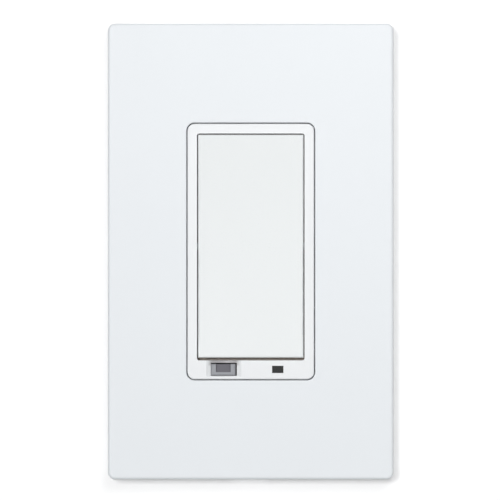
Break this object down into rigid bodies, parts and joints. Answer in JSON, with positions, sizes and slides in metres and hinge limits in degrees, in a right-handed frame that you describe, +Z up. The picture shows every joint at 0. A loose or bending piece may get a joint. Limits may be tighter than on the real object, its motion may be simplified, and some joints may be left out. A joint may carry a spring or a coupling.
{
  "type": "smart dimmer switch",
  "caption": "Wall dimmer with rocker paddle, pull-out air-gap tab, status light, clip-on screwless cover plate and strap-mounted rear housing.",
  "frame": {"origin": "midway between the two box screws, on the wall's surface, which is the back of the metal strap", "axes": "+X to the user's right when facing the switch, +Y into the wall, so the face looks along -Y, +Z up"},
  "size_m": [0.0746, 0.0386, 0.119],
  "materials": {
    "wall_plate": "satin polycarbonate, very slightly bluish white",
    "sub_plate": "matt moulded plastic",
    "white_screw": "painted steel",
    "aluminium": "punched and brushed sheet",
    "zinc": "zinc-plated steel",
    "nylon": "natural nylon",
    "green_screw": "green plated steel",
    "bezel": "satin white plastic",
    "paddle": "satin white plastic",
    "tab": "grey plastic",
    "contact_bronze": "spring bronze",
    "smoked_lens": "smoked clear plastic",
    "led": "clear resin",
    "fibre": "fish paper",
    "circuit_board": "solder-masked laminate",
    "black_plastic": "moulded epoxy",
    "spring_steel": "drawn wire",
    "can_metal": "tinned shield",
    "gold_wire": "gold-plated wire",
    "pad": "filled silicone",
    "ferrite": "sintered ferrite",
    "copper_wire": "enamelled copper",
    "film_capacitor": "moulded box",
    "capacitor_sleeve": "shrink sleeve",
    "varistor": "dipped epoxy",
    "fuse": "ceramic body with plated caps",
    "housing": "matt moulded plastic",
    "brass": "brass plate",
    "clamp_steel": "nickel-plated steel",
    "black_screw": "black-finished steel"
  },
  "bodies": {
    "device": {"wall_plate": "wall_plate", "sub_plate": "sub_plate", "plate_screw_upper": "white_screw", "plate_screw_lower": "white_screw", "strap": "aluminium", "mounting_screw_upper": "zinc", "mounting_screw_lower": "zinc", "screw_retainer_upper": "nylon", "screw_retainer_lower": "nylon", "ground_screw": "green_screw", "bezel": "bezel", "line_contact": "contact_bronze", "feed_contact": "contact_bronze", "led_lens": "smoked_lens", "status_led": "led", "insulator_sheet": "fibre", "control_board": "circuit_board", "upper_switch_body": "black_plastic", "lower_switch_body": "black_plastic", "upper_spring": "spring_steel", "lower_spring": "spring_steel", "controller_chip": "black_plastic", "radio_module": "can_metal", "antenna": "gold_wire", "board_connector": "black_plastic", "power_board": "circuit_board", "triac": "black_plastic", "triac_screw": "zinc", "thermal_pad": "pad", "choke_core": "ferrite", "choke_winding": "copper_wire", "film_capacitor": "film_capacitor", "electrolytic_capacitor": "capacitor_sleeve", "varistor": "varistor", "fuse": "fuse", "bridge_rectifier": "black_plastic", "housing": "housing", "back_cover": "housing", "case_screw_1": "zinc", "case_screw_2": "zinc", "case_screw_3": "zinc", "case_screw_4": "zinc", "line_terminal": "brass", "load_terminal": "brass", "neutral_terminal": "brass", "traveler_terminal": "brass", "line_clamp": "clamp_steel", "load_clamp": "clamp_steel", "neutral_clamp": "clamp_steel", "traveler_clamp": "clamp_steel", "line_screw": "black_screw", "load_screw": "brass", "neutral_screw": "clamp_steel", "traveler_screw": "brass"},
    "paddle": {"paddle": "paddle"},
    "airgap_tab": {"airgap_tab": "tab", "airgap_bridge": "contact_bronze"},
    "upper_plunger": {"upper_plunger": "nylon"},
    "lower_plunger": {"lower_plunger": "nylon"}
  },
  "joints": [
    {"name": "paddle_rock", "type": "hinge", "parent": "device", "child": "paddle", "pos_m": [0, -0.0044, 0.0014], "axis": [1, 0, 0], "range_deg": [-1.6, 1.6], "stiffness_Nm_per_rad": 0.8},
    {"name": "upper_plunger_travel", "type": "slide", "parent": "device", "child": "upper_plunger", "axis": [0, 1, 0], "range_m": [-0.00055, 0.00055], "deforming": ["upper_spring"]},
    {"name": "lower_plunger_travel", "type": "slide", "parent": "device", "child": "lower_plunger", "axis": [0, 1, 0], "range_m": [-0.00055, 0.00055], "deforming": ["lower_spring"]},
    {"name": "airgap_pull", "type": "slide", "parent": "device", "child": "airgap_tab", "axis": [0, -1, 0], "range_m": [0, 0.003]}
  ],
  "couplings": [
    {"joint": "upper_plunger_travel", "follows": "paddle_rock", "m_per_rad": -0.018},
    {"joint": "lower_plunger_travel", "follows": "paddle_rock", "m_per_rad": 0.018}
  ]
}
